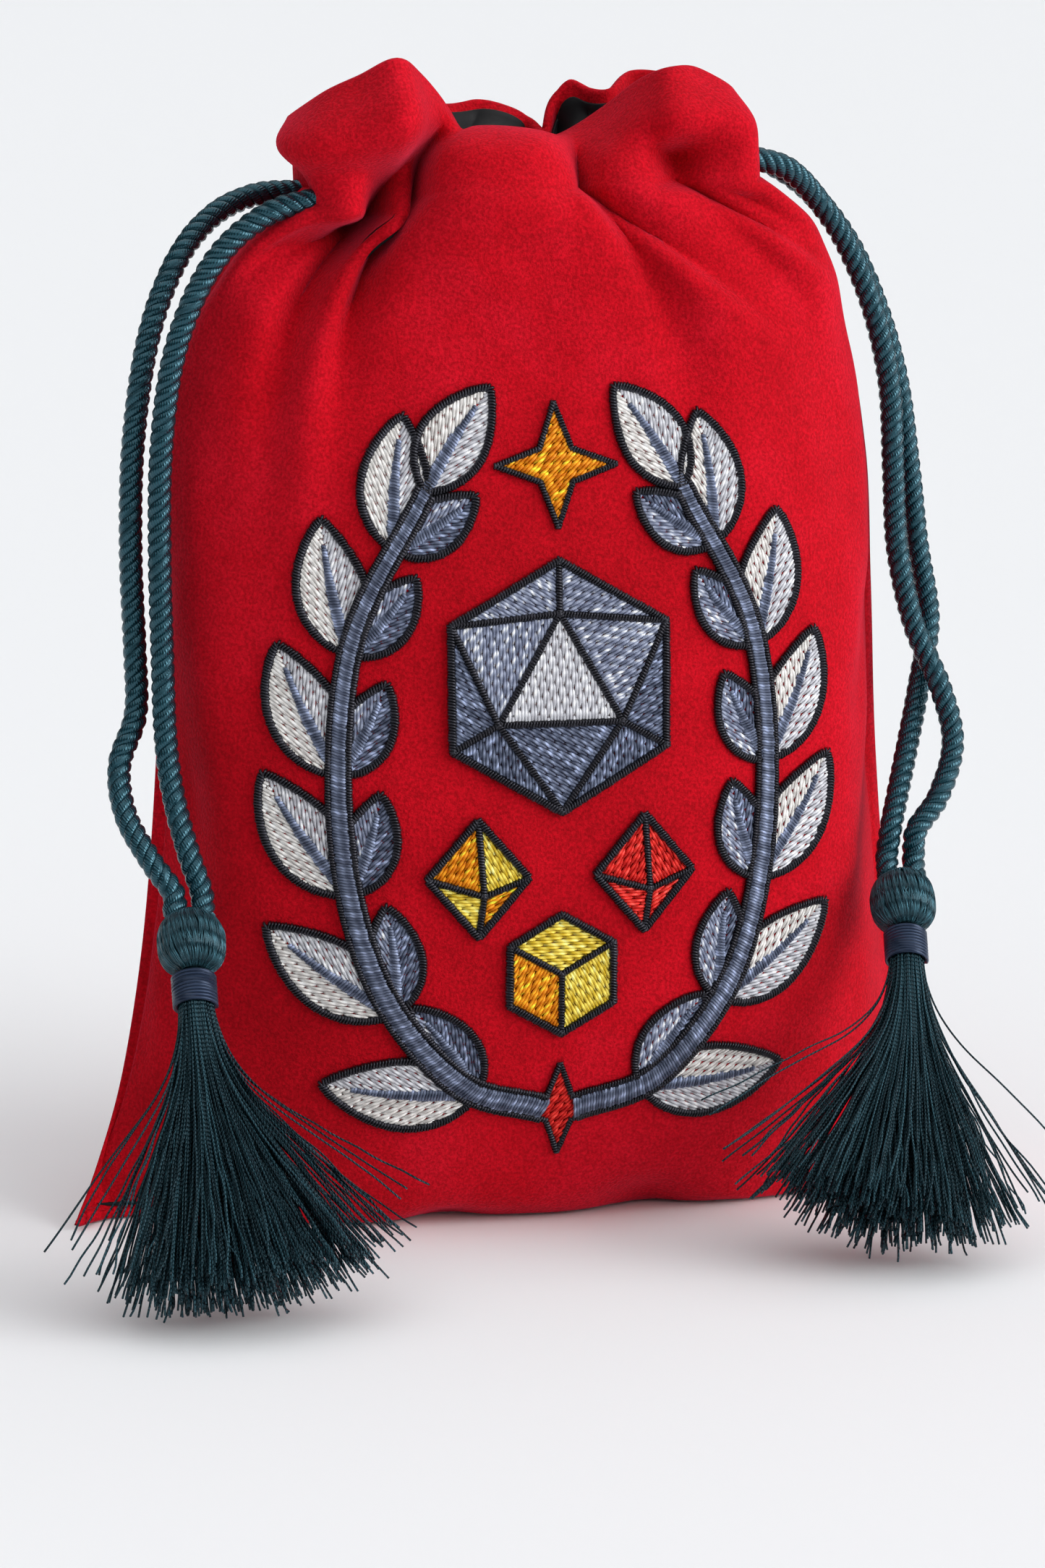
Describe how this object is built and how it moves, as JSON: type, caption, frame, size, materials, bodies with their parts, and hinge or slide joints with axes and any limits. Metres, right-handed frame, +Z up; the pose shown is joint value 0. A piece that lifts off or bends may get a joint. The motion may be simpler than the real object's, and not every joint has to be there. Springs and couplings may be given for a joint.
{
  "type": "drawstring dice bag",
  "caption": "Plump standing velvet pouch with a satin lining, an embroidered front, a gathered frilled mouth and two twisted drawstrings ending in thread tassels.",
  "frame": {"origin": "middle of the flat underside that the pouch stands on", "axes": "+X to the right seen from the embroidered front, +Y towards the back, +Z up through the mouth"},
  "size_m": [0.1179, 0.0803, 0.1455],
  "materials": {
    "velvet": "matt short-pile velvet, deep red",
    "satin": "black satin with a soft sheen",
    "stitching": "glossy embroidery thread, mostly slate and off-white",
    "cord": "lustrous twisted rayon cord, dark teal",
    "thread": "lustrous rayon thread, dark teal",
    "binding": "wound thread, slate blue"
  },
  "bodies": {
    "pouch": {"front_panel": "velvet", "back_panel": "velvet", "front_lining": "satin", "back_lining": "satin", "front_channel": "velvet", "back_channel": "velvet", "embroidery": "stitching"},
    "front_frill": {"front_frill": "velvet", "front_frill_lining": "satin"},
    "back_frill": {"back_frill": "velvet", "back_frill_lining": "satin"},
    "left_drawstring": {"left_strand_front": "cord", "left_strand_back": "cord", "left_loop": "cord"},
    "right_drawstring": {"right_strand_front": "cord", "right_strand_back": "cord", "right_loop": "cord"},
    "left_tassel": {"left_tassel_knot": "cord", "left_tassel_head": "thread", "left_tassel_binding": "binding", "left_tassel_skirt": "thread"},
    "right_tassel": {"right_tassel_knot": "cord", "right_tassel_head": "thread", "right_tassel_binding": "binding", "right_tassel_skirt": "thread"}
  },
  "joints": [
    {"name": "front_frill_fold", "type": "hinge", "parent": "pouch", "child": "front_frill", "pos_m": [0, -0.0091, 0.1364], "axis": [1, 0, 0], "range_deg": [0, 45]},
    {"name": "back_frill_fold", "type": "hinge", "parent": "pouch", "child": "back_frill", "pos_m": [0, 0.0091, 0.1364], "axis": [-1, 0, 0], "range_deg": [0, 45]},
    {"name": "left_drawstring_pull", "type": "slide", "parent": "pouch", "child": "left_drawstring", "axis": [-1, 0, 0], "range_m": [0, 0.012], "deforming": ["left_loop"]},
    {"name": "right_drawstring_pull", "type": "slide", "parent": "pouch", "child": "right_drawstring", "axis": [1, 0, 0], "range_m": [0, 0.012], "deforming": ["right_loop"]},
    {"name": "left_tassel_swing", "type": "hinge", "parent": "left_drawstring", "child": "left_tassel", "pos_m": [-0.0462, -0.022, 0.0438], "axis": [-1, 0, 0], "range_deg": [0, 40], "deforming": ["left_strand_front", "left_strand_back"]},
    {"name": "right_tassel_swing", "type": "hinge", "parent": "right_drawstring", "child": "right_tassel", "pos_m": [0.0466, -0.0145, 0.0429], "axis": [-1, 0, 0], "range_deg": [0, 40], "deforming": ["right_strand_front", "right_strand_back"]}
  ]
}
